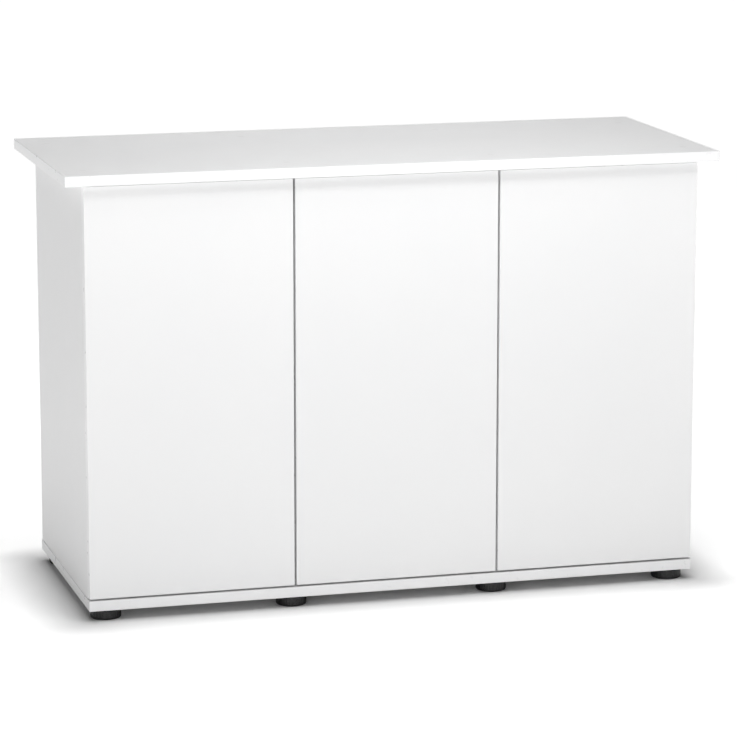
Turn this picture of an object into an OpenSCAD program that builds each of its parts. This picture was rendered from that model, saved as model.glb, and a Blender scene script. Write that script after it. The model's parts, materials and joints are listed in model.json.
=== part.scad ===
// Aquarium stand cabinet: three handle-less overlay doors on concealed cup hinges,
// under a wide overhanging top board that carries the tank.
// Origin: floor level under the middle of the top board. X right, -Y front, Z up. Millimetres.

/* [Cabinet] */
// Width of the top board
top_w = 1210; // [1000:10:1400]
// Depth of the top board
top_d = 510; // [490:10:600]
// Height of the tank surface above the floor
total_h = 807; // [700:1:950]
// Thickness of the boards and doors
board_t = 19; // [18:0.5:19]
// Overhang of the top board past each side panel
side_overhang = 36; // [10:1:60]
// Overhang of the top board past the door faces
front_overhang = 17; // [5:1:30]
// Depth of the body from the door faces to the rear edges of the side panels
body_d = 470; // [440:5:470]
// How far the bottom board stands proud of each side panel
base_proud = 1; // [0.5:0.5:3]
// Thickness of the edge banding
edging_t = 1; // [0.5:0.1:2]

/* [Doors] */
// Gap between two neighbouring doors
door_gap = 4; // [3.5:0.5:6]
// Gap between a door and the bottom board
door_bottom_gap = 3.5; // [2:0.5:6]
// Gap between a door and the top board
door_top_gap = 3; // [2:0.5:6]
// Gap between a closed door and the edges behind it
door_back_gap = 2; // [2:0.5:3]
// Distance from a door's end to the middle of its nearest hinge
hinge_inset = 100; // [80:5:160]

/* [Feet] */
// Height of a fully screwed-in foot, floor to bottom board
foot_h = 20; // [18:1:30]
// Diameter of a foot
foot_dia = 56; // [40:1:60]
// Distance from the bottom board's edges to a foot's centre
foot_inset = 36; // [32:1:50]

/* [Back] */
// Thickness of the back panel
back_t = 3; // [3:0.5:4]
// Width of a hose opening in the back panel
hose_port_w = 220; // [120:10:280]
// Height of a hose opening in the back panel
hose_port_h = 90; // [60:5:110]
// Inner radius of a cable grommet
grommet_r = 27; // [15:1:32]

/* [Shelves] */
// Height of the shelves' undersides above the floor
shelf_z = 400; // [340:10:460]
// Vertical distance between neighbouring shelf-pin holes
pin_pitch = 64; // [32:32:96]

/* [Latches] */
// How far a latch plunger pushes out when it is released
plunger_travel = 10; // [6:1:12]

/* [Hidden] */
$fn = 48;
WHITE = "white";
ABS_WHITE = "whitesmoke";
BLACK = "#202022";
STEEL = "silver";
BEECH = "burlywood";
GREY = "gainsboro";
through = 1;                 // how far a cutting shape runs past the face it cuts
fit_gap = 0.05;              // radial play of a fixed pin or screw in its hole
turn_gap = 0.06;             // radial play of a turning or sliding pin

// Levels and edges of the body
body_w = top_w - 2 * side_overhang;
base_w = body_w + 2 * base_proud;
base_z = foot_h;
floor_z = base_z + board_t;
ceiling_z = total_h - board_t;
upright_h = ceiling_z - floor_z;
door_y = -top_d / 2 + front_overhang;
upright_y = door_y + board_t + door_back_gap;
rear_y = door_y + body_d;
base_rear_y = rear_y + back_t;
side_x = body_w / 2 - board_t / 2;
door_w = (body_w - 2 * door_gap) / 3;
door_bottom_z = floor_z + door_bottom_gap;
door_top_z = ceiling_z - door_top_gap;
divider_x = body_w / 2 - door_w - door_gap / 2;
upright_xs = [-side_x, -divider_x, divider_x, side_x];
bay_xs = [-(side_x + divider_x) / 2, 0, (side_x + divider_x) / 2];

// Screws with a countersunk head, and dowels, between the uprights and the two boards
screw_r = 3.5;
screw_l = 48;
head_r = 5;
head_l = 3;
cap_r = 6.5;
cap_t = 0.9;
cap_drop = 0.1;
head_drop = cap_t + cap_drop + 0.5;
top_screw_ys = [-185, 170];
bottom_screw_ys = [-150, 145];
dowel_r = 4;
dowel_l = 30;
dowel_in_board = 10;
dowel_ys = [-100, 95];
hole_spare = 0.5;            // extra depth of a blind hole past its screw or dowel

// Hinge layout, seen from above: x runs from the upright's inner face into the cabinet,
// y from the upright's front edge to the rear
door_hands = [1, 1, -1];     // 1: hinged on its left edge, -1: on its right edge
door_lefts = [-body_w / 2, -door_w / 2, body_w / 2 - door_w];
hinge_zs = [door_bottom_z + hinge_inset, door_top_z - hinge_inset];
overlay = 19;                // distance from the hinge's origin to the door's edge
divider_overlay = board_t / 2 - door_gap / 2;
hinge_cranks = [overlay - board_t, overlay - divider_overlay, overlay - board_t];
arm_pivot = [24, 8];
cup_pivot = [-6.5, -6];
link_knee = [2, -9.3];
outer_arm_pivot = [31.5, 18];
outer_cup_pivot = [-7, -5];
outer_knee = [-1.5, -8.7];
knee_spare = 0.3;            // the knee is this much rounder than the bars are wide
cup_x = 2.5;
cup_r = 17.5;
cup_depth = 12.5;
cup_wall = 1;
arm_pin_r = 1.75;
cup_pin_r = 1.5;
outer_pin_r = 1.25;
open_pivot_gap = 0.6;        // play of the outer link on its cup pin
inner_half = 5;              // half width of the inner link
cheek_in = 5.6;
cheek_out = 7;
outer_in = 7.6;
outer_out = 9;
stub_out = 9.3;
plate_t = 3;
plate_screw_y = 37;
plate_screw_z = 16;
small_screw_r = 2;
small_screw_l = 12;
plate_ys = [26, 48];         // the wings with the plate's screws
plate_half_h = 24;
tail_ys = [24, 64];          // the narrow part under the arm
tail_half_h = 9;
rib_x = 7;                   // top face of the rib that the arm sits on
rib_ys = [26, 62];
rib_half_h = 5.5;
arm_screw_y = 54;
arm_screw_x = 15;            // outer face of the arm's web there
eye_wall = 1.85;
arm_outline = [[26.8, 5.7], [34.4, 15.8], [34.6, 20], [15, 44], [15, 62], [3.6, 62], [3.6, 28],
    [21.2, 10.2]];
web_outline = [[34.6, 20], [15, 44], [15, 62], [13.5, 62], [13.5, 43.4], [33, 19.5]];
inner_bar_w = 3;
inner_eyes = [3, 3.4];       // radii of the eyes at the cup and at the arm
outer_bar_w = 2.8;
outer_eyes = [3.1, 3.4];
cup_flange_t = 1;
cup_flange_r = cup_r + 2;
cup_ear_half_w = 6;
cup_ear_half_h = 29;
cup_cheek_xs = [-9.9, -3.7]; // the two cheeks in the cup that hold the pivots
cup_screw_l = 11;
cup_screw_x = cup_x + 6;
cup_screw_z = 24;

// Push latches: each sits on the upright behind the free edge of its door
latch_z = door_top_z - 45;
latch_w = 14;
latch_half_h = 9;
latch_front_y = upright_y + 2;
latch_l = 56;
plunger_r = 4;
plunger_l = 38;
plunger_tip_y = door_y + board_t + 1.2;
latch_faces = [-divider_x - board_t / 2, divider_x - board_t / 2, divider_x + board_t / 2];
latch_dirs = [-1, -1, 1];
latch_ear_z = 13.5;
strike_r = 6;
strike_t = 1;

// Feet
foot_xs = [-base_w / 2 + foot_inset, -divider_x, divider_x, base_w / 2 - foot_inset];
foot_ys = [door_y + foot_inset, base_rear_y - foot_inset];
stud_r = 5;
stud_top = base_z + 16.5;
socket_r = 7.5;
socket_flange_r = 24;
socket_flange_t = 3;
foot_top = base_z - socket_flange_t - 0.2;
pad_round = 3;

// Shelves
shelf_gap = 1;
shelf_front_y = upright_y + 14;
shelf_rear_y = rear_y - 3;
pin_r = 2.5;
pin_ys = [-180, 180];
pin_in = 8.5;
pin_out = 8;
pin_collar = 1.5;            // how far a pin's collar stands out around it
pin_z = shelf_z - pin_r;
pin_zs = [pin_z - pin_pitch, pin_z, pin_z + pin_pitch];
bay_right_w = side_x - divider_x - board_t;
bay_middle_w = 2 * divider_x - board_t;
shelf_bays = [[0, bay_middle_w], [bay_xs[2], bay_right_w]];   // [middle, width] of each

// Back panel, with a rounded hose opening and a cable hole behind each bay
back_inset = 2;
port_corner_r = 20;
port_z = ceiling_z - 30 - hose_port_h;
grommet_z = floor_z + 70;
grommet_wall = 3;
grommet_lip = 2;
back_screw_r = 1.5;
back_screw_l = 16;
back_screw_head_t = 2;
back_screw_inset = 40;       // from the ends of an upright
back_screw_zs = [for (i = [0 : 3])
    floor_z + back_screw_inset + i * (upright_h - 2 * back_screw_inset) / 3];

// Latch screws, and the spring behind each plunger
latch_screw_y = latch_front_y + latch_l / 2;
latch_screw_l = 9;
latch_ear_half = 6;          // half width of the housing's screw ears
latch_ear_reach = 5;
bore_end = 4;                // wall behind the plunger's bore
spring_seat = 6;             // depth and radius of the plunger's hollow end
spring_seat_r = 2.4;
spring_r = 3;
wire_r = 0.4;
spring_turns = 5;
spring_y = plunger_tip_y + plunger_l + 0.5;
spring_l = latch_front_y + latch_l - bore_end - 0.5 - spring_y;
rings_per_turn = 12;
wire_sides = 6;

module at(x, y, z) { translate([x, y, z]) children(); }
module block(x0, x1, y0, y1, z0, z1) { at(x0, y0, z0) cube([x1 - x0, y1 - y0, z1 - z0]); }
module rod_x(r, l) { rotate([0, 90, 0]) cylinder(r = r, h = l); }
module rod_y(r, l) { rotate([-90, 0, 0]) cylinder(r = r, h = l); }

// A board with banded edges: the core, and the band around it
module board_core(w, y0, y1, z0, z1) {
    block(-w / 2 + edging_t, w / 2 - edging_t, y0 + edging_t, y1 - edging_t, z0, z1);
}
module board_band(w, y0, y1, z0, z1) {
    difference() {
        block(-w / 2, w / 2, y0, y1, z0, z1);
        board_core(w, y0, y1, z0 - through, z1 + through);
    }
}

// Connecting screw, head up, with its head's top face at z = 0
module long_screw(play = 0) {
    at(0, 0, -screw_l - play) cylinder(r = screw_r + play, h = screw_l + play);
    at(0, 0, -head_l) cylinder(r1 = screw_r + play, r2 = head_r + play, h = head_l);
}
module at_top_screws() {
    for (x = upright_xs, y = top_screw_ys) at(x, y, total_h - head_drop) children();
}
module at_bottom_screws() {
    for (x = upright_xs, y = bottom_screw_ys) at(x, y, base_z + 1) mirror([0, 0, 1]) children();
}
module at_top_dowels() {
    for (x = upright_xs, y = dowel_ys) at(x, y, ceiling_z) children();
}
module at_bottom_dowels() {
    for (x = upright_xs, y = dowel_ys) at(x, y, floor_z) mirror([0, 0, 1]) children();
}
// Dowel across a joint face at z = 0, its short end upwards
module dowel(play = 0, spare = 0) {
    at(0, 0, dowel_in_board - dowel_l - spare)
        cylinder(r = dowel_r + play, h = dowel_l + 2 * spare);
}
module joint_holes() {
    at_top_screws() long_screw(fit_gap);
    at_bottom_screws() long_screw(fit_gap);
    at_top_dowels() dowel(fit_gap, hole_spare);
    at_bottom_dowels() dowel(fit_gap, hole_spare);
}

module top_board() {
    color(WHITE) difference() {
        board_core(top_w, -top_d / 2, top_d / 2, ceiling_z, total_h);
        joint_holes();
        at_top_screws() cylinder(r = cap_r + fit_gap, h = head_drop + through);
    }
}
module top_board_edging() {
    color(ABS_WHITE) board_band(top_w, -top_d / 2, top_d / 2, ceiling_z, total_h);
}
module bottom_board() {
    color(WHITE) difference() {
        board_core(base_w, door_y, base_rear_y, base_z, floor_z);
        joint_holes();
        at_bottom_screws() cylinder(r = head_r + fit_gap, h = 1 + through);
        at_feet() at(0, 0, base_z - through)
            cylinder(r = socket_r + fit_gap, h = stud_top + hole_spare - base_z + through);
    }
}
module bottom_board_edging() {
    color(ABS_WHITE) board_band(base_w, door_y, base_rear_y, base_z, floor_z);
}

// An upright at one of upright_xs; faces lists the sides, -1 or 1, that have shelf-pin holes
module upright(x, faces) {
    color(WHITE) difference() {
        block(x - board_t / 2, x + board_t / 2, upright_y + edging_t, rear_y, floor_z, ceiling_z);
        joint_holes();
        at_hinges() plate_screws(fit_gap, hole_spare);
        at_latches() latch_screw_pair(fit_gap, hole_spare);
        at_back_screws() back_screw(fit_gap);
        for (s = faces, y = pin_ys, z = pin_zs)
            at(x + s * board_t / 2, y, z) rotate([0, -90 * s, 0])
                at(0, 0, -through) cylinder(r = pin_r + fit_gap, h = pin_in + 0.5 + through);
    }
}
module left_side_panel() { upright(upright_xs[0], []); }
module left_divider() { upright(upright_xs[1], [1]); }
module right_divider() { upright(upright_xs[2], [-1, 1]); }
module right_side_panel() { upright(upright_xs[3], [-1]); }
module upright_edging() {
    color(ABS_WHITE) for (x = upright_xs)
        block(x - board_t / 2, x + board_t / 2, upright_y, upright_y + edging_t,
            floor_z, ceiling_z);
}

module hose_port() {
    cut_l = back_t + 2 * through;
    at(-hose_port_w / 2, 0, port_corner_r) cube([hose_port_w, cut_l, hose_port_h - 2 * port_corner_r]);
    at(-hose_port_w / 2 + port_corner_r, 0, 0) cube([hose_port_w - 2 * port_corner_r, cut_l, hose_port_h]);
    for (s = [-1, 1], z = [port_corner_r, hose_port_h - port_corner_r])
        at(s * (hose_port_w / 2 - port_corner_r), 0, z) rod_y(port_corner_r, cut_l);
}
module at_back_screws() {
    for (x = upright_xs, z = back_screw_zs)
        at(x, base_rear_y, z) children();
}
module back_screw(play = 0) {
    at(0, -back_screw_l - play, 0) rod_y(back_screw_r + play, back_screw_l + play);
}
module back_panel() {
    color(WHITE) difference() {
        block(-body_w / 2 + back_inset, body_w / 2 - back_inset, rear_y, base_rear_y,
            floor_z, ceiling_z);
        for (x = bay_xs) {
            at(x, rear_y - through, port_z) hose_port();
            at(x, rear_y - through, grommet_z)
                rod_y(grommet_r + grommet_wall + fit_gap, back_t + 2 * through);
        }
        at_back_screws() back_screw(fit_gap);
    }
}
module back_panel_screws() {
    color(STEEL) at_back_screws() {
        back_screw();
        rotate([-90, 0, 0]) cylinder(r1 = 3.5, r2 = 2.2, h = back_screw_head_t);
    }
}
module cable_grommets() {
    lip = grommet_lip;
    color(GREY) for (x = bay_xs) at(x, rear_y - lip, grommet_z) difference() {
        union() {
            rod_y(grommet_r + grommet_wall, back_t + 2 * lip);
            at(0, lip + back_t, 0) rod_y(grommet_r + 2 * grommet_wall, lip);
        }
        at(0, -through, 0) rod_y(grommet_r, back_t + 2 * lip + 2 * through);
    }
}

// Adjustable shelves on pins
module shelf(b) {
    color(WHITE) block(b[0] - b[1] / 2 + shelf_gap, b[0] + b[1] / 2 - shelf_gap,
        shelf_front_y + edging_t, shelf_rear_y, shelf_z, shelf_z + board_t);
}
module middle_shelf() { shelf(shelf_bays[0]); }
module right_shelf() { shelf(shelf_bays[1]); }
module shelf_edging() {
    color(ABS_WHITE) for (b = shelf_bays)
        block(b[0] - b[1] / 2 + shelf_gap, b[0] + b[1] / 2 - shelf_gap,
            shelf_front_y, shelf_front_y + edging_t, shelf_z, shelf_z + board_t);
}
module shelf_pins() {
    color(STEEL) for (b = shelf_bays, s = [-1, 1], y = pin_ys)
        at(b[0] + s * b[1] / 2, y, pin_z) rotate([0, 90 * s, 0]) {
            cylinder(r = pin_r, h = pin_in);
            at(0, 0, -pin_out) cylinder(r = pin_r, h = pin_out);
            at(0, 0, 0.1 - shelf_gap) cylinder(r = pin_r + pin_collar, h = shelf_gap - 0.2);
        }
}

module dowels() {
    color(BEECH) {
        at_top_dowels() dowel();
        at_bottom_dowels() dowel();
    }
}
module carcass_screws() {
    color(STEEL) {
        at_top_screws() long_screw();
        at_bottom_screws() long_screw();
    }
}
module screw_caps() {
    color(ABS_WHITE) for (x = upright_xs, y = top_screw_ys)
        at(x, y, total_h - cap_drop - cap_t) cylinder(r = cap_r, h = cap_t);
}

// Places its children in the frame of each hinge of door i
module at_door_hinges(i) {
    edge_x = door_hands[i] > 0 ? door_lefts[i] : door_lefts[i] + door_w;
    for (z = hinge_zs) at(edge_x + door_hands[i] * overlay, upright_y, z)
        if (door_hands[i] > 0) children();
        else mirror([1, 0, 0]) children();
}
module at_hinges() { for (i = [0 : 2]) at_door_hinges(i) at(-hinge_cranks[i], 0, 0) children(); }

module plate_screws(play = 0, spare = 0) {
    for (s = [-1, 1]) at(-small_screw_l - spare, plate_screw_y, s * plate_screw_z)
        rod_x(small_screw_r + play, small_screw_l + spare + plate_t + through);
}
module hinge_plates() {
    color(STEEL) for (i = [0 : 2]) at_door_hinges(i) difference() {
        x0 = -hinge_cranks[i];
        union() {
            block(x0, x0 + plate_t, plate_ys[0], plate_ys[1], -plate_half_h, plate_half_h);
            block(x0, x0 + plate_t, tail_ys[0], tail_ys[1], -tail_half_h, tail_half_h);
            block(x0, rib_x, rib_ys[0], rib_ys[1], -rib_half_h, rib_half_h);
        }
        for (s = [-1, 1]) at(x0 - through, plate_screw_y, s * plate_screw_z)
            rod_x(small_screw_r + fit_gap, plate_t + 2 * through);
        at(x0 - through, arm_screw_y, 0) rod_x(small_screw_r + fit_gap, rib_x - x0 + 2 * through);
    }
}
// Two short pins for the outer links, one on each cheek
module stubs(pivot, r) {
    for (s = [-1, 1]) at(pivot[0], pivot[1], s > 0 ? cheek_in : -stub_out)
        cylinder(r = r, h = stub_out - cheek_in);
}
module hinge_arm() {
    difference() {
        union() {
            for (s = [-1, 1]) at(0, 0, s > 0 ? cheek_in : -cheek_out)
                linear_extrude(cheek_out - cheek_in) {
                    polygon(arm_outline);
                    translate(arm_pivot) circle(r = arm_pin_r + eye_wall);
                    translate(outer_arm_pivot) circle(r = arm_pin_r + eye_wall);
                }
            at(0, 0, -cheek_out) linear_extrude(2 * cheek_out) polygon(web_outline);
            at(arm_pivot[0], arm_pivot[1], -cheek_out) cylinder(r = arm_pin_r, h = 2 * cheek_out);
            stubs(outer_arm_pivot, arm_pin_r);
        }
        at(rib_x, arm_screw_y, 0) rod_x(small_screw_r + fit_gap, arm_screw_x);
    }
}
module hinge_arms() { color(STEEL) for (i = [0 : 2]) at_door_hinges(i) hinge_arm(); }
module hinge_screws() {
    color(STEEL) for (i = [0 : 2]) at_door_hinges(i) {
        x0 = -hinge_cranks[i];
        at(x0, 0, 0) for (s = [-1, 1]) {
            at(-small_screw_l, plate_screw_y, s * plate_screw_z)
                rod_x(small_screw_r, small_screw_l + plate_t);
            at(plate_t, plate_screw_y, s * plate_screw_z) rod_x(2 * small_screw_r, 1.5);
        }
        at(x0 + 1, arm_screw_y, 0) rod_x(small_screw_r, arm_screw_x - x0);
        at(arm_screw_x, arm_screw_y, 0) rod_x(1.8 * small_screw_r, 2);
    }
}

// A flat link with round eyes at both ends and a knee between them
function heading(a, b) = atan2(b[1] - a[1], b[0] - a[0]);
module bar(eye, knee, w, start) {
    translate(eye) rotate(heading(eye, knee)) translate([start, -w / 2])
        square([norm(knee - eye) - start, w]);
}
// A round end, turned so that its seam faces away from the bars
module boss(centre, turn, r) {
    translate(centre) rotate(turn) circle(r = r);
}
module link(p, knee, q, w, eye_p, eye_q, hole_p, hole_q, t) {
    to_p = heading(knee, p);
    to_q = heading(knee, q);
    linear_extrude(t) difference() {
        union() {
            bar(p, knee, w, 0.85 * eye_p);
            bar(q, knee, w, 0.85 * eye_q);
            boss(knee, (to_p + to_q) / 2 + 180, w / 2 + knee_spare);
            boss(p, to_p, eye_p);
            boss(q, to_q, eye_q);
        }
        translate(p) circle(r = hole_p);
        translate(q) circle(r = hole_q);
    }
}
module inner_links(i) {
    color(STEEL) at_door_hinges(i) at(0, 0, -inner_half)
        link(cup_pivot, link_knee, arm_pivot, inner_bar_w, inner_eyes[0], inner_eyes[1],
            cup_pin_r + turn_gap, arm_pin_r + turn_gap, 2 * inner_half);
}
module outer_links(i) {
    color(STEEL) at_door_hinges(i) for (s = [-1, 1]) at(0, 0, s > 0 ? outer_in : -outer_out)
        link(outer_cup_pivot, outer_knee, outer_arm_pivot, outer_bar_w, outer_eyes[0],
            outer_eyes[1], outer_pin_r + open_pivot_gap, arm_pin_r + turn_gap, outer_out - outer_in);
}
module left_inner_links() { inner_links(0); }
module middle_inner_links() { inner_links(1); }
module right_inner_links() { inner_links(2); }
module left_outer_links() { outer_links(0); }
module middle_outer_links() { outer_links(1); }
module right_outer_links() { outer_links(2); }

// Doors: a banded board, bored from behind for its cups
module door_core(i) {
    block(door_lefts[i] + edging_t, door_lefts[i] + door_w - edging_t, door_y, door_y + board_t,
        door_bottom_z + edging_t, door_top_z - edging_t);
}
module door(i) {
    color(WHITE) difference() {
        door_core(i);
        at_door_hinges(i) {
            at(cup_x, -door_back_gap - cup_depth, 0) rod_y(cup_r + fit_gap, cup_depth + through);
            cup_screw_pair(fit_gap, hole_spare);
        }
    }
}
module door_edging(i) {
    color(ABS_WHITE) difference() {
        block(door_lefts[i], door_lefts[i] + door_w, door_y, door_y + board_t,
            door_bottom_z, door_top_z);
        block(door_lefts[i] + edging_t, door_lefts[i] + door_w - edging_t,
            door_y - through, door_y + board_t + through,
            door_bottom_z + edging_t, door_top_z - edging_t);
    }
}
module cup_screw_pair(play = 0, spare = 0) {
    for (s = [-1, 1]) at(cup_screw_x, -door_back_gap - cup_screw_l - spare, s * cup_screw_z)
        rod_y(small_screw_r + play, cup_screw_l + spare + cup_flange_t);
}
module hinge_cups(i) {
    flange_y = -door_back_gap;
    color(STEEL) at_door_hinges(i) {
        difference() {
            union() {
                at(cup_x, flange_y - cup_depth, 0) rod_y(cup_r, cup_depth);
                at(cup_x, flange_y, 0) rod_y(cup_flange_r, cup_flange_t);
                block(cup_screw_x - cup_ear_half_w, cup_screw_x + cup_ear_half_w,
                    flange_y, flange_y + cup_flange_t, -cup_ear_half_h, cup_ear_half_h);
            }
            at(cup_x, flange_y - cup_depth + cup_wall, 0) rod_y(cup_r - cup_wall, cup_depth + through);
            for (s = [-1, 1]) at(cup_screw_x, flange_y - through, s * cup_screw_z)
                rod_y(small_screw_r + fit_gap, cup_flange_t + 2 * through);
        }
        for (s = [-1, 1])
            block(cup_cheek_xs[0], cup_cheek_xs[1], flange_y - cup_depth + cup_wall / 2,
                flange_y - 0.6, s > 0 ? cheek_in : -cheek_out, s > 0 ? cheek_out : -cheek_in);
        at(cup_pivot[0], cup_pivot[1], -cheek_out) cylinder(r = cup_pin_r, h = 2 * cheek_out);
        stubs(outer_cup_pivot, outer_pin_r);
    }
}
module cup_screws(i) {
    color(STEEL) at_door_hinges(i) {
        cup_screw_pair();
        for (s = [-1, 1]) at(cup_screw_x, -door_back_gap + cup_flange_t, s * cup_screw_z)
            rod_y(1.8 * small_screw_r, 1.3);
    }
}
module left_door() { door(0); }
module middle_door() { door(1); }
module right_door() { door(2); }
module left_door_edging() { door_edging(0); }
module middle_door_edging() { door_edging(1); }
module right_door_edging() { door_edging(2); }
module left_hinge_cups() { hinge_cups(0); }
module middle_hinge_cups() { hinge_cups(1); }
module right_hinge_cups() { hinge_cups(2); }
module left_cup_screws() { cup_screws(0); }
module middle_cup_screws() { cup_screws(1); }
module right_cup_screws() { cup_screws(2); }

// Push latches, in a frame whose x runs from the upright's face into the bay
module at_latch(i) {
    at(latch_faces[i], 0, latch_z)
        if (latch_dirs[i] > 0) children();
        else mirror([1, 0, 0]) children();
}
module at_latches() { for (i = [0 : 2]) at_latch(i) children(); }
module latch_screw_pair(play = 0, spare = 0) {
    for (s = [-1, 1]) at(-latch_screw_l - spare, latch_screw_y, s * latch_ear_z)
        rod_x(back_screw_r + play, latch_screw_l + spare + plate_t);
}
module latch_housings() {
    color(GREY) at_latches() difference() {
        union() {
            block(0, latch_w, latch_front_y, latch_front_y + latch_l, -latch_half_h, latch_half_h);
            block(0, plate_t, latch_screw_y - latch_ear_half, latch_screw_y + latch_ear_half,
                -latch_ear_z - latch_ear_reach, latch_ear_z + latch_ear_reach);
        }
        at(latch_w / 2, latch_front_y - through, 0)
            rod_y(plunger_r + turn_gap, latch_l - bore_end + through);
        for (s = [-1, 1]) at(-through, latch_screw_y, s * latch_ear_z)
            rod_x(back_screw_r + fit_gap, plate_t + 2 * through);
    }
}
module latch_screws() {
    color(STEEL) at_latches() {
        latch_screw_pair();
        for (s = [-1, 1]) at(plate_t, latch_screw_y, s * latch_ear_z) rod_x(2 * back_screw_r, 1.2);
    }
}
// Compressed coil spring along +Y, swept as a six-sided wire
module coil() {
    rings = spring_turns * rings_per_turn;
    rise = spring_l - 2 * wire_r;
    points = [for (i = [0 : rings], j = [0 : wire_sides - 1])
        let (a = 360 * i / rings_per_turn, b = 360 * j / wire_sides,
            r = spring_r + wire_r * cos(b))
        [r * cos(a), wire_r + rise * i / rings + wire_r * sin(b), r * sin(a)]];
    walls = [for (i = [0 : rings - 1], j = [0 : wire_sides - 1])
        let (k = (j + 1) % wire_sides, a = i * wire_sides, b = a + wire_sides)
        [a + j, a + k, b + k, b + j]];
    ends = [[for (j = [wire_sides - 1 : -1 : 0]) j],
        [for (j = [0 : wire_sides - 1]) rings * wire_sides + j]];
    polyhedron(points = points, faces = concat(walls, ends), convexity = 8);
}
module latch_springs() { color(STEEL) at_latches() at(latch_w / 2, spring_y, 0) coil(); }
module plunger(i) {
    color(GREY) at_latch(i) at(latch_w / 2, plunger_tip_y, 0) difference() {
        rod_y(plunger_r, plunger_l);
        at(0, plunger_l - spring_seat, 0) rod_y(spring_seat_r, spring_seat + through);
    }
}
module strike_plate(i) {
    color(STEEL) at_latch(i) at(latch_w / 2, door_y + board_t, 0) rod_y(strike_r, strike_t);
}
module left_plunger() { plunger(0); }
module middle_plunger() { plunger(1); }
module right_plunger() { plunger(2); }
module left_strike_plate() { strike_plate(0); }
module middle_strike_plate() { strike_plate(1); }
module right_strike_plate() { strike_plate(2); }

// Levelling feet, each a moulded pad on a threaded stud in a socket in the bottom board
module at_feet() { for (x = foot_xs, y = foot_ys) at(x, y, 0) children(); }
module foot_sockets() {
    color(BLACK) at_feet() at(0, 0, base_z) difference() {
        union() {
            at(0, 0, -socket_flange_t) cylinder(r = socket_flange_r, h = socket_flange_t);
            cylinder(r = socket_r, h = stud_top - base_z + hole_spare);
        }
        at(0, 0, -socket_flange_t - through)
            cylinder(r = stud_r + turn_gap, h = stud_top - base_z + socket_flange_t + 0.4 + through);
    }
}
module foot(ix, iy) {
    r = foot_dia / 2;
    color(BLACK) at(foot_xs[ix], foot_ys[iy], 0) {
        rotate_extrude($fn = 96) {
            polygon([[0, 0], [r - pad_round, 0], [r - pad_round, pad_round], [r, pad_round],
                [r, foot_top - 1], [r - 1, foot_top], [0, foot_top]]);
            intersection() {
                translate([r - pad_round, pad_round]) circle(r = pad_round);
                square([r, pad_round]);
            }
        }
        cylinder(r = stud_r, h = stud_top);
    }
}
module foot_front_1() { foot(0, 0); }
module foot_front_2() { foot(1, 0); }
module foot_front_3() { foot(2, 0); }
module foot_front_4() { foot(3, 0); }
module foot_rear_1() { foot(0, 1); }
module foot_rear_2() { foot(1, 1); }
module foot_rear_3() { foot(2, 1); }
module foot_rear_4() { foot(3, 1); }

top_board();
top_board_edging();
bottom_board();
bottom_board_edging();
left_side_panel();
right_side_panel();
left_divider();
right_divider();
upright_edging();
back_panel();
back_panel_screws();
cable_grommets();
middle_shelf();
right_shelf();
shelf_edging();
shelf_pins();
dowels();
carcass_screws();
screw_caps();
hinge_plates();
hinge_arms();
hinge_screws();
latch_housings();
latch_springs();
latch_screws();
foot_sockets();
left_door();
left_door_edging();
left_hinge_cups();
left_cup_screws();
left_strike_plate();
middle_door();
middle_door_edging();
middle_hinge_cups();
middle_cup_screws();
middle_strike_plate();
right_door();
right_door_edging();
right_hinge_cups();
right_cup_screws();
right_strike_plate();
left_inner_links();
left_outer_links();
middle_inner_links();
middle_outer_links();
right_inner_links();
right_outer_links();
left_plunger();
middle_plunger();
right_plunger();
foot_front_1();
foot_front_2();
foot_front_3();
foot_front_4();
foot_rear_1();
foot_rear_2();
foot_rear_3();
foot_rear_4();
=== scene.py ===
"""The looks of an aquarium stand cabinet: white melamine boards, concealed hinges, a white studio."""

import json
import math

import bmesh
import bpy
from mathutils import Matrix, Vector


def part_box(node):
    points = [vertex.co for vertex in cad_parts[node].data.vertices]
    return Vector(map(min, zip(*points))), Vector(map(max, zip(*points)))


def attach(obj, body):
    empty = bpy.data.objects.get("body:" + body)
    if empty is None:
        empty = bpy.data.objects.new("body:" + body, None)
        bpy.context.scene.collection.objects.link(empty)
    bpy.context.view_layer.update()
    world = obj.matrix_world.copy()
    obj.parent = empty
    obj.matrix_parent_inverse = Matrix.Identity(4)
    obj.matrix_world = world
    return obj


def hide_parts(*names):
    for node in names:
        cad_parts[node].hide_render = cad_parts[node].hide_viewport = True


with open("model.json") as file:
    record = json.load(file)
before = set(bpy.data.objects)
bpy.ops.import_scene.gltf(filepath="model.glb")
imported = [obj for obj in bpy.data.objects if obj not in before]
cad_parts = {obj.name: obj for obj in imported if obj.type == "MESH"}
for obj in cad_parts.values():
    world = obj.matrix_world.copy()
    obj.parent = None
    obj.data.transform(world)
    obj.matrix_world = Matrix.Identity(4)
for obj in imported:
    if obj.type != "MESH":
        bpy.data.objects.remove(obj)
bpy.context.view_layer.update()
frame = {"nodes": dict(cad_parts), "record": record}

RECORD = frame["record"]
SLOTS = {part["node"]: part["material_slot"] for part in RECORD["subparts"]}
BODIES = {n: body for body, nodes in RECORD["behaviour"]["bodies"].items() for n in nodes}

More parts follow.
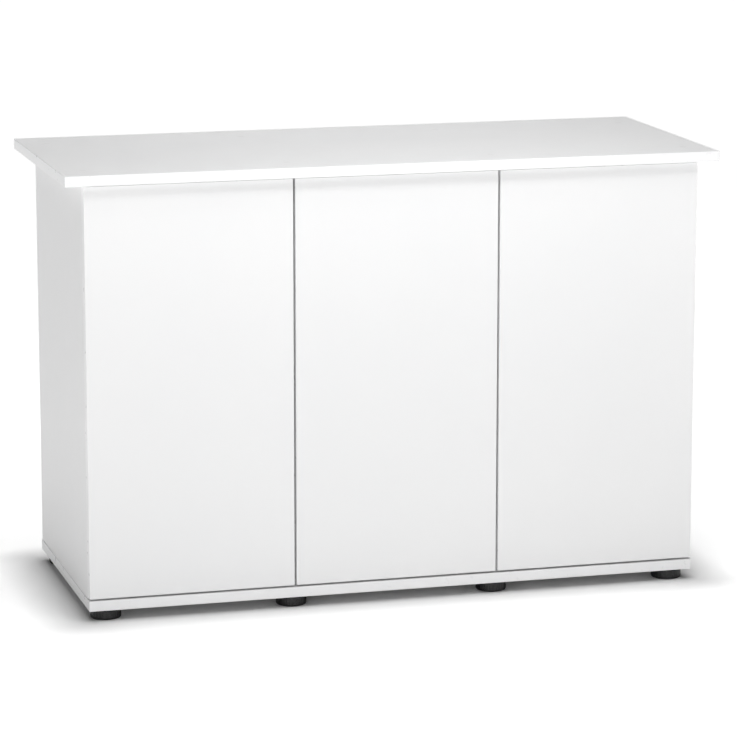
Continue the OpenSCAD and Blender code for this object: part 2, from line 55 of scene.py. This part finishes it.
# Sizes in metres
MM = 0.001
BOARD_ROUND = 0.9 * MM      # rounding of the boards' banded edges
METAL_ROUND = 0.2 * MM      # broken edges of pressed metal
CUT_ROUND = 0.25 * MM       # broken edges of the shelves, cut without a band
MOULDED_ROUND = 0.5 * MM    # rounding of moulded plastic
SCREW_ROUND = 0.12 * MM
FOOT_PAD_TOP = 16.8 * MM
FOOT_ROUND = 3.0 * MM
FOOT_RIBS = 36
FOOT_RIB_DEPTH = 0.5 * MM
STUD_R = 5.0 * MM
THREAD_DEEP = 0.5 * MM
THREAD_PITCH = 1.5 * MM
RECESS_REACH = 0.62         # a screw's cross recess, as parts of its head's radius: the arms' reach
RECESS_HALF = 0.17          # and half their width
RECESS_TAPER = 0.72         # what is left of both at the bottom
RECESS_DEPTH = 0.9 * MM
RECESS_ABOVE = 0.3 * MM     # how far the cutter stands out of the head
WELD = 1e-6                 # vertices closer than this are one
ALIGNED = 1e-5              # points this near to a plane lie on it
FLAT = math.radians(1.0)    # faces this near to one plane are one face
CREASE = math.radians(32)   # sharper edges than this stay sharp

# The floor glows outside the cabinet's footprint, in two steps: the strength that each adds, and
# the distances from the footprint, in metres, between which it comes up. Held off close around
# the footprint, the glow paints a soft shadow there, over the lamps' real one
FOOTPRINT = (1.140, 0.470)
FOOTPRINT_Y = -0.0025
GLOW_AND_PAINTED_SHADOW = ((0.50, 0.0, 0.10), (0.43, 0.10, 1.2))

# The camera stands in front of the left end, above the tank surface, and looks down
CAMERA_AT = (-1.7114, -6.2192, 1.6931)
CAMERA_YAW = math.radians(15.488)
CAMERA_PITCH = math.radians(11.457)
FRAME_PX = 737
FOCAL_PX = 3522.8
SENSOR = 36.0
FLOOR_REACH = 60.0          # half the floor's width


# ---------------------------------------------------------------- materials

def shader(name):
    """A new node material, with its tree and its Principled shader."""
    mat = bpy.data.materials.new(name)
    mat.use_nodes = True
    return mat, mat.node_tree, mat.node_tree.nodes["Principled BSDF"]


def surface_point(tree):
    """The point on the object, in metres, as a node output."""
    return tree.nodes.new("ShaderNodeTexCoord").outputs["Object"]


def noise(tree, scale, detail=3.0, stretch=(1, 1, 1), rough=0.5):
    """A noise value at so many waves a metre, drawn out along an axis by stretch."""
    node = tree.nodes.new("ShaderNodeTexNoise")
    node.inputs["Scale"].default_value = scale
    node.inputs["Detail"].default_value = detail
    node.inputs["Roughness"].default_value = rough
    mapping = tree.nodes.new("ShaderNodeMapping")
    mapping.inputs["Scale"].default_value = stretch
    tree.links.new(surface_point(tree), mapping.inputs["Vector"])
    tree.links.new(mapping.outputs["Vector"], node.inputs["Vector"])
    return node.outputs["Fac"]


def between(tree, value, low, high, start=0.3, end=0.7):
    """A value spread over a range of numbers."""
    node = tree.nodes.new("ShaderNodeMapRange")
    node.inputs["From Min"].default_value = start
    node.inputs["From Max"].default_value = end
    node.inputs["To Min"].default_value = low
    node.inputs["To Max"].default_value = high
    tree.links.new(value, node.inputs["Value"])
    return node.outputs["Result"]


def tint(tree, value, low, high, start=0.3, end=0.7):
    """A value spread between two colours."""
    node = tree.nodes.new("ShaderNodeValToRGB")
    first, last = node.color_ramp.elements
    first.position, last.position = start, end
    first.color, last.color = (*low, 1), (*high, 1)
    tree.links.new(value, node.inputs["Fac"])
    return node.outputs["Color"]


def add_bump(tree, bsdf, layers):
    """Stacks bump layers, each (height value, depth in metres)."""
    before = None
    for height, depth in layers:
        node = tree.nodes.new("ShaderNodeBump")
        node.inputs["Strength"].default_value = 1.0
        node.inputs["Distance"].default_value = depth
        tree.links.new(height, node.inputs["Height"])
        if before is not None:
            tree.links.new(before, node.inputs["Normal"])
        before = node.outputs["Normal"]
    tree.links.new(before, bsdf.inputs["Normal"])


def white_melamine_board():
    """Satin white melamine: a fine pearl grain pressed into the face, and faint mottling."""
    mat, tree, bsdf = shader("white_melamine_board")
    mottle = noise(tree, 3.0, 4.0)
    tree.links.new(tint(tree, mottle, (0.852, 0.854, 0.857), (0.868, 0.868, 0.868)),
                   bsdf.inputs["Base Color"])
    tree.links.new(between(tree, noise(tree, 30.0, 5.0), 0.36, 0.43), bsdf.inputs["Roughness"])
    pearl = noise(tree, 1400.0, 2.0)
    swell = noise(tree, 90.0, 2.0)
    add_bump(tree, bsdf, [(swell, 0.00001), (pearl, 0.000012)])
    bsdf.inputs["Specular IOR Level"].default_value = 0.45
    return mat


def white_edge_band():
    """Edge band: a touch glossier and cooler than the faces, with faint scraper marks."""
    mat, tree, bsdf = shader("white_edge_band")
    mottle = noise(tree, 6.0, 3.0)
    tree.links.new(tint(tree, mottle, (0.892, 0.894, 0.897), (0.908, 0.909, 0.911)),
                   bsdf.inputs["Base Color"])
    tree.links.new(between(tree, noise(tree, 60.0, 3.0), 0.27, 0.34), bsdf.inputs["Roughness"])
    add_bump(tree, bsdf, [(noise(tree, 500.0, 2.0, (1, 1, 0.06)), 0.000012)])
    return mat


def white_fibreboard():
    """The back panel's lacquered face: flat white over a fine pressed screen pattern."""
    mat, tree, bsdf = shader("white_fibreboard")
    tree.links.new(tint(tree, noise(tree, 12.0, 5.0), (0.80, 0.80, 0.79), (0.84, 0.84, 0.83)),
                   bsdf.inputs["Base Color"])
    tree.links.new(between(tree, noise(tree, 80.0, 3.0), 0.48, 0.60), bsdf.inputs["Roughness"])
    add_bump(tree, bsdf, [(noise(tree, 700.0, 3.0), 0.00003)])
    return mat


def raw_fibre():
    """The cut edge of hardboard: brown, matted fibres."""
    mat, tree, bsdf = shader("raw_fibre")
    fibres = noise(tree, 900.0, 6.0, (1, 0.25, 1), 0.7)
    tree.links.new(tint(tree, fibres, (0.20, 0.115, 0.06), (0.36, 0.24, 0.14)),
                   bsdf.inputs["Base Color"])
    tree.links.new(between(tree, fibres, 0.75, 0.95), bsdf.inputs["Roughness"])
    add_bump(tree, bsdf, [(fibres, 0.0001)])
    return mat


def moulded_plastic(name, low, high, rough, grain):
    """Moulded plastic with the fine grain of an eroded mould."""
    mat, tree, bsdf = shader(name)
    tree.links.new(tint(tree, noise(tree, 25.0, 4.0), low, high), bsdf.inputs["Base Color"])
    tree.links.new(between(tree, noise(tree, 300.0, 3.0), rough - 0.05, rough + 0.06),
                   bsdf.inputs["Roughness"])
    add_bump(tree, bsdf, [(noise(tree, grain, 2.0), 0.00003)])
    return mat


def plated_steel(name, low, high, rough):
    """Plated pressed steel: rolling lines, and plate that varies a little in sheen."""
    mat, tree, bsdf = shader(name)
    tree.links.new(tint(tree, noise(tree, 45.0, 5.0), low, high), bsdf.inputs["Base Color"])
    bsdf.inputs["Metallic"].default_value = 1.0
    lines = noise(tree, 900.0, 3.0, (1, 1, 0.05))
    tree.links.new(between(tree, lines, rough - 0.07, rough + 0.09), bsdf.inputs["Roughness"])
    add_bump(tree, bsdf, [(lines, 0.000012), (noise(tree, 150.0, 2.0), 0.00002)])
    return mat


def beech():
    """Beech dowels: pale brown with long grain."""
    mat, tree, bsdf = shader("beech")
    grain = noise(tree, 700.0, 4.0, (1, 1, 0.08))
    tree.links.new(tint(tree, grain, (0.50, 0.33, 0.18), (0.72, 0.54, 0.36)),
                   bsdf.inputs["Base Color"])
    tree.links.new(between(tree, grain, 0.55, 0.75), bsdf.inputs["Roughness"])
    add_bump(tree, bsdf, [(grain, 0.0001)])
    return mat


def studio_floor():
    """A plain white floor that glows faintly, except under and close around the object, where the fading
    glow paints a soft shadow over the lamps' real one.
    """
    mat, tree, bsdf = shader("studio_floor")
    tree.links.new(tint(tree, noise(tree, 0.6, 3.0), (0.90, 0.90, 0.90), (0.92, 0.92, 0.92)),
                   bsdf.inputs["Base Color"])
    tree.links.new(between(tree, noise(tree, 5.0, 3.0), 0.85, 0.95), bsdf.inputs["Roughness"])
    bsdf.inputs["Specular IOR Level"].default_value = 0.1
    bsdf.inputs["Emission Color"].default_value = (1, 1, 1, 1)
    away = outside_footprint(tree)
    # the glow comes up only away from the footprint, so the floor close around the cabinet stays dark: a
    # painted shadow
    steps = [between(tree, away, 0.0, strength, start, end) for strength, start, end in GLOW_AND_PAINTED_SHADOW]
    tree.links.new(math_node(tree, "ADD", *steps), bsdf.inputs["Emission Strength"])
    return mat


def outside_footprint(tree):
    """How far a point of the floor is from the cabinet's footprint, in metres."""
    split = tree.nodes.new("ShaderNodeSeparateXYZ")
    tree.links.new(surface_point(tree), split.inputs["Vector"])
    sides = []
    for axis, half, middle in (("X", FOOTPRINT[0] / 2, 0.0), ("Y", FOOTPRINT[1] / 2, FOOTPRINT_Y)):
        shift = math_node(tree, "SUBTRACT", split.outputs[axis], middle)
        reach = math_node(tree, "SUBTRACT", math_node(tree, "ABSOLUTE", shift), half)
        sides.append(math_node(tree, "MAXIMUM", reach, 0.0))
    squares = [math_node(tree, "MULTIPLY", side, side) for side in sides]
    return math_node(tree, "SQRT", math_node(tree, "ADD", *squares))


def math_node(tree, operation, *values):
    node = tree.nodes.new("ShaderNodeMath")
    node.operation = operation
    for socket, value in zip(node.inputs, values):
        if isinstance(value, float):
            socket.default_value = value
        else:
            tree.links.new(value, socket)
    return node.outputs["Value"]


MATERIALS = {
    "white_melamine_board": white_melamine_board(),
    "white_edge_band": white_edge_band(),
    "white_fibreboard": white_fibreboard(),
    "grey_plastic": moulded_plastic(
        "grey_plastic", (0.50, 0.51, 0.52), (0.56, 0.57, 0.58), 0.45, 1800.0),
    "white_plastic": moulded_plastic(
        "white_plastic", (0.80, 0.80, 0.80), (0.84, 0.84, 0.84), 0.38, 1500.0),
    "plunger_plastic": moulded_plastic(
        "plunger_plastic", (0.70, 0.71, 0.72), (0.76, 0.77, 0.78), 0.35, 1500.0),
    "black_plastic": moulded_plastic(
        "black_plastic", (0.004, 0.004, 0.0045), (0.008, 0.008, 0.0085), 0.30, 1600.0),
    "zinc_plated_steel": plated_steel(
        "zinc_plated_steel", (0.62, 0.64, 0.67), (0.72, 0.74, 0.77), 0.34),
    "nickel_plated_steel": plated_steel(
        "nickel_plated_steel", (0.66, 0.65, 0.62), (0.76, 0.75, 0.72), 0.27),
    "beech": beech(),
}
RAW_FIBRE = raw_fibre()


# ---------------------------------------------------------------- meshes

def new_piece(name, mesh, node):
    """An object that stands for a CAD node, on the node's body and in its finish."""
    piece = bpy.data.objects.new(name, mesh)
    bpy.context.scene.collection.objects.link(piece)
    if not mesh.materials:
        mesh.materials.append(MATERIALS[SLOTS[node]])
    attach(piece, BODIES[node])
    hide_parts(node)
    return piece


def cad_bmesh(node):
    """The CAD node's mesh with its vertices joined and its flat faces merged."""
    mesh = bmesh.new()
    mesh.from_mesh(frame["nodes"][node].data)
    bmesh.ops.remove_doubles(mesh, verts=mesh.verts, dist=WELD)
    bmesh.ops.dissolve_limit(mesh, angle_limit=FLAT, verts=mesh.verts, edges=mesh.edges)
    return mesh


def islands(mesh):
    """The mesh's separate solids, each as a list of vertices, in the same order every run."""
    seen, found = set(), []
    for start in mesh.verts:
        if start in seen:
            continue
        seen.add(start)
        group, todo = [start], [start]
        while todo:
            for edge in todo.pop().link_edges:
                for vert in edge.verts:
                    if vert not in seen:
                        seen.add(vert)
                        group.append(vert)
                        todo.append(vert)
        found.append(group)
    found.sort(key=lambda group: tuple(round(x, 5) for x in centre(group)))
    return found


def extent(verts):
    """(lowest corner, highest corner) of some vertices."""
    return tuple([side(v.co[i] for v in verts) for i in range(3)] for side in (min, max))


def centre(verts):
    lo, hi = extent(verts)
    return Vector([(lo[i] + hi[i]) / 2 for i in range(3)])


def outer_edges(mesh):
    """The edges where two sides of a solid's own box meet."""
    found = []
    for group in islands(mesh):
        lo, hi = extent(group)
        sides = [(i, side) for i in range(3) for side in (lo[i], hi[i])]
        for edge in {e for v in group for e in v.link_edges}:
            a, b = (v.co for v in edge.verts)
            if sum(abs(a[i] - at) < ALIGNED and abs(b[i] - at) < ALIGNED for i, at in sides) >= 2:
                found.append(edge)
    return sorted(found, key=lambda e: e.index)


def finish_mesh(mesh, name):
    """Turns a bmesh into a mesh whose curved faces are smooth and whose corners are crisp."""
    bmesh.ops.recalc_face_normals(mesh, faces=mesh.faces)
    data = bpy.data.meshes.new(name)
    mesh.to_mesh(data)
    mesh.free()
    data.polygons.foreach_set("use_smooth", [True] * len(data.polygons))
    data.set_sharp_from_angle(angle=CREASE)
    return data


def add_modifiers(piece, round_by=0.0):
    """Breaks the sharp edges and keeps the large faces flat."""
    if round_by:
        bevel = piece.modifiers.new("edges", "BEVEL")
        bevel.width = round_by
        bevel.segments = 2
        bevel.limit_method = "ANGLE"
        bevel.angle_limit = CREASE
    normals = piece.modifiers.new("normals", "WEIGHTED_NORMAL")
    normals.keep_sharp = True


def rounded_board(node, radius):
    """A board or its band, with the outer edges rounded."""
    mesh = cad_bmesh(node)
    mesh.edges.index_update()
    bmesh.ops.bevel(mesh, geom=outer_edges(mesh), offset=radius, offset_type="OFFSET",
                    segments=3, profile=0.5, affect="EDGES", clamp_overlap=True)
    piece = new_piece(node + ".board", finish_mesh(mesh, node), node)
    add_modifiers(piece)
    return piece


def small_part(node, radius=METAL_ROUND):
    """A metal or moulded part, with its edges broken."""
    piece = new_piece(node + ".part", finish_mesh(cad_bmesh(node), node), node)
    add_modifiers(piece, radius)
    return piece


def lathe(mesh, profile, place, turns=64, ribs=0, rib_depth=0.0, ribbed=()):
    """Adds a solid turned about the vertical through place; profile is (radius, height) pairs
    from the axis at the bottom to the axis at the top. Every second step of a ribbed row lies deeper."""
    steps = ribs * 4 if ribs else turns
    rows = []
    for k, (r, z) in enumerate(profile):
        if r == 0:
            rows.append([mesh.verts.new(Vector((0, 0, z)) + place)])
            continue
        row = []
        for i in range(steps):
            deep = rib_depth if k in ribbed and i % 4 >= 2 else 0.0
            turn = 2 * math.pi * i / steps
            row.append(mesh.verts.new(
                Vector(((r - deep) * math.cos(turn), (r - deep) * math.sin(turn), z)) + place))
        rows.append(row)
    for below, above in zip(rows, rows[1:]):
        for i in range(steps):
            j = (i + 1) % steps
            ring = ([below[0]] if len(below) == 1 else [below[i], below[j]]) + \
                   ([above[0]] if len(above) == 1 else [above[j], above[i]])
            mesh.faces.new(ring)


def levelling_foot(node):
    """A moulded pad with a finger grip around it, on a threaded stud."""
    lo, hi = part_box(node)
    place = Vector(((lo.x + hi.x) / 2, (lo.y + hi.y) / 2, 0))
    pad_r, pad_top = (hi.x - lo.x) / 2, FOOT_PAD_TOP
    curve = [(pad_r - FOOT_ROUND + FOOT_ROUND * math.sin(a), FOOT_ROUND - FOOT_ROUND * math.cos(a))
             for a in (math.radians(d) for d in (0, 18, 36, 54, 72, 90))]
    side = [(pad_r, 4.2 * MM), (pad_r, 4.6 * MM),
            (pad_r, pad_top - 2.2 * MM), (pad_r, pad_top - 1.8 * MM), (pad_r, pad_top - 0.7 * MM),
            (pad_r - 0.2 * MM, pad_top - 0.2 * MM), (pad_r - 0.7 * MM, pad_top)]
    top = [(14 * MM, pad_top), (12 * MM, pad_top - 0.8 * MM), (8 * MM, pad_top - 0.8 * MM),
           (7 * MM, pad_top), (STUD_R, pad_top)]
    profile = [(0, 0)] + curve + side + top
    mesh = bmesh.new()
    first = len(curve) + 1
    stud = [(STUD_R, pad_top + 0.1 * MM)] + thread(pad_top + 0.3 * MM, hi.z) + [(0, hi.z)]
    lathe(mesh, profile + stud, place,
          ribs=FOOT_RIBS, rib_depth=FOOT_RIB_DEPTH, ribbed=(first + 1, first + 2))
    piece = new_piece(node + ".pad", finish_mesh(mesh, node), node)
    add_modifiers(piece)


def thread(start, end):
    """The outline of a thread between two heights."""
    pitch = THREAD_PITCH
    count = int((end - start) / pitch)
    points = []
    for i in range(count):
        z = start + i * pitch
        points += [(STUD_R - THREAD_DEEP, z + 0.1 * pitch),
                   (STUD_R, z + 0.45 * pitch), (STUD_R, z + 0.65 * pitch)]
    return points + [(STUD_R - THREAD_DEEP, end)]


def cross_recesses(node, axis):
    """Screws whose heads, facing along axis, have a cross recess."""
    mesh = cad_bmesh(node)
    index = "xyz".index(axis[-1])
    facing = -1 if axis[0] == "-" else 1
    cutter = bmesh.new()
    for group in islands(mesh):
        sign = facing
        if axis[0] == "?":
            # the head is the wide end of the screw
            sign = wide_end(group, index)
        lo, hi = extent(group)
        top = (hi if sign > 0 else lo)[index]
        rim = [v.co for v in group if abs(v.co[index] - top) < ALIGNED]
        middle = sum(rim, Vector()) / len(rim)
        head_r = max((point - middle).length for point in rim)
        recess(cutter, middle, index, sign, head_r)
    head = bpy.data.meshes.new(node + "_cut")
    bmesh.ops.recalc_face_normals(cutter, faces=cutter.faces)
    cutter.to_mesh(head)
    cutter.free()
    tool = bpy.data.objects.new(node + "_cut", head)
    bpy.context.scene.collection.objects.link(tool)
    piece = new_piece(node + ".screws", finish_mesh(mesh, node), node)
    cut = piece.modifiers.new("recess", "BOOLEAN")
    cut.operation, cut.object, cut.solver = "DIFFERENCE", tool, "EXACT"
    bpy.context.view_layer.update()
    made = bpy.data.meshes.new_from_object(piece.evaluated_get(bpy.context.evaluated_depsgraph_get()))
    if not made.vertices:
        raise RuntimeError(node + ": cutting the recesses left nothing")
    piece.modifiers.clear()
    piece.data = made
    bpy.data.objects.remove(tool)
    made.set_sharp_from_angle(angle=CREASE)
    add_modifiers(piece, SCREW_ROUND)


def wide_end(group, index):
    """Which way along an axis a screw's head faces: 1 or -1."""
    lo, hi = extent(group)
    middle = centre(group)

    def width(at):
        middle[index] = at
        return max((v.co - middle).length for v in group if abs(v.co[index] - at) < ALIGNED)
    return 1 if width(hi[index]) > width(lo[index]) else -1


def recess(cutter, middle, index, sign, head_r):
    """Adds a tapered cross, cut from a head's face, to the cutter.

    It is one closed prism: two boxes that pass through each other make the boolean return nothing."""
    u, v = [i for i in range(3) if i != index]
    reach, half = RECESS_REACH * head_r, RECESS_HALF * head_r
    outline = []
    for a, b in ((1, 1), (1, -1), (-1, -1), (-1, 1)):
        arm = [(half, reach), (half, half), (reach, half)]
        if a * b < 0:
            arm.reverse()
        outline += [(a * x, b * y) for x, y in arm]
    rings = []
    for depth, shrink in ((-RECESS_ABOVE, 1.0), (RECESS_DEPTH, RECESS_TAPER)):
        ring = []
        for x, y in outline:
            point = [0, 0, 0]
            point[index] = middle[index] - sign * depth
            point[u] = middle[u] + x * shrink
            point[v] = middle[v] + y * shrink
            ring.append(cutter.verts.new(point))
        cutter.faces.new(ring)
        rings.append(ring)
    above, below = rings
    for i, vert in enumerate(above):
        j = (i + 1) % len(above)
        cutter.faces.new((vert, above[j], below[j], below[i]))


def raw_edges(piece):
    """Shows brown fibre on the sides of the back panel and of its openings."""
    piece.data.materials.append(RAW_FIBRE)
    for face in piece.data.polygons:
        if abs(face.normal.y) < 0.5:
            face.material_index = 1


for node in ("left_side_panel", "right_side_panel", "left_divider", "right_divider",
             "top_board", "bottom_board", "left_door", "middle_door", "right_door"):
    small_part(node, 0)
for node in ("middle_shelf", "right_shelf"):
    small_part(node, CUT_ROUND)
for node in ("top_board_edging", "bottom_board_edging", "upright_edging", "shelf_edging",
             "left_door_edging", "middle_door_edging", "right_door_edging"):
    rounded_board(node, BOARD_ROUND)
raw_edges(small_part("back_panel", 0))
for row in ("front", "rear"):
    for number in (1, 2, 3, 4):
        levelling_foot(f"foot_{row}_{number}")
cross_recesses("back_panel_screws", "+y")
cross_recesses("hinge_screws", "?x")
cross_recesses("latch_screws", "?x")
for door in ("left", "middle", "right"):
    cross_recesses(f"{door}_cup_screws", "+y")
    small_part(f"{door}_plunger", MOULDED_ROUND)
for node in ("cable_grommets", "latch_housings", "foot_sockets", "screw_caps"):
    small_part(node, MOULDED_ROUND)
for node in SLOTS:
    if not frame["nodes"][node].hide_render:
        small_part(node)


# ---------------------------------------------------------------- studio

def make_camera():
    data = bpy.data.cameras.new("camera")
    data.sensor_width = SENSOR
    data.lens = FOCAL_PX / FRAME_PX * SENSOR
    data.clip_end = 200
    camera = bpy.data.objects.new("camera", data)
    camera.location = CAMERA_AT
    camera.rotation_euler = (math.pi / 2 - CAMERA_PITCH, 0, -CAMERA_YAW)
    bpy.context.scene.collection.objects.link(camera)
    bpy.context.scene.camera = camera


def area_light(name, place, target, width, height, power):
    data = bpy.data.lights.new(name, "AREA")
    data.shape = "RECTANGLE"
    data.size, data.size_y = width, height
    data.energy = power
    light = bpy.data.objects.new(name, data)
    light.visible_camera = False
    light.location = place
    light.rotation_euler = (Vector(target) - Vector(place)).to_track_quat("-Z", "Y").to_euler()
    bpy.context.scene.collection.objects.link(light)
    return light


def make_world(strength):
    """A dim white surround, which the camera sees as plain white."""
    world = bpy.data.worlds.new("studio")
    world.use_nodes = True
    tree = world.node_tree
    tree.nodes["Background"].inputs["Color"].default_value = (1, 1, 1, 1)
    seen = tree.nodes.new("ShaderNodeLightPath").outputs["Is Camera Ray"]
    tree.links.new(between(tree, seen, strength, 1.0, 0.0, 1.0),
                   tree.nodes["Background"].inputs["Strength"])
    bpy.context.scene.world = world


def make_floor():
    mesh = bpy.data.meshes.new("floor")
    reach = FLOOR_REACH
    mesh.from_pydata([(-reach, -reach, 0), (reach, -reach, 0), (reach, reach, 0), (-reach, reach, 0)],
                     [], [(0, 1, 2, 3)])
    mesh.materials.append(studio_floor())
    floor = bpy.data.objects.new("floor", mesh)
    bpy.context.scene.collection.objects.link(floor)


LIGHTS = (
    # name, place, target, width, height, power
    ("over_front", (0.0, -0.7, 2.4), (0, -0.24, 0.6), 2.6, 0.5, 11.2),
    ("upper_doors", (0.05, -0.9, 1.8), (0.05, -0.24, 0.6), 0.9, 0.3, 5.9),
    ("high_front", (0.0, -2.6, 3.4), (0, -0.24, 0.5), 2.5, 1.0, 19.5),
    ("key", (-2.2, -7.2, 0.9), (0, -0.24, 0.4), 2.5, 1.0, 86.0),
    ("top_rear", (0.0, 1.0, 1.7), (0, 0.2, 0.8), 2.4, 0.4, 13.4),
)
WORLD = 0.085
make_camera()
make_world(WORLD)
make_floor()
for light in LIGHTS:
    area_light(*light)
bpy.context.scene.view_settings.view_transform = "Standard"
bpy.context.scene.view_settings.look = "None"
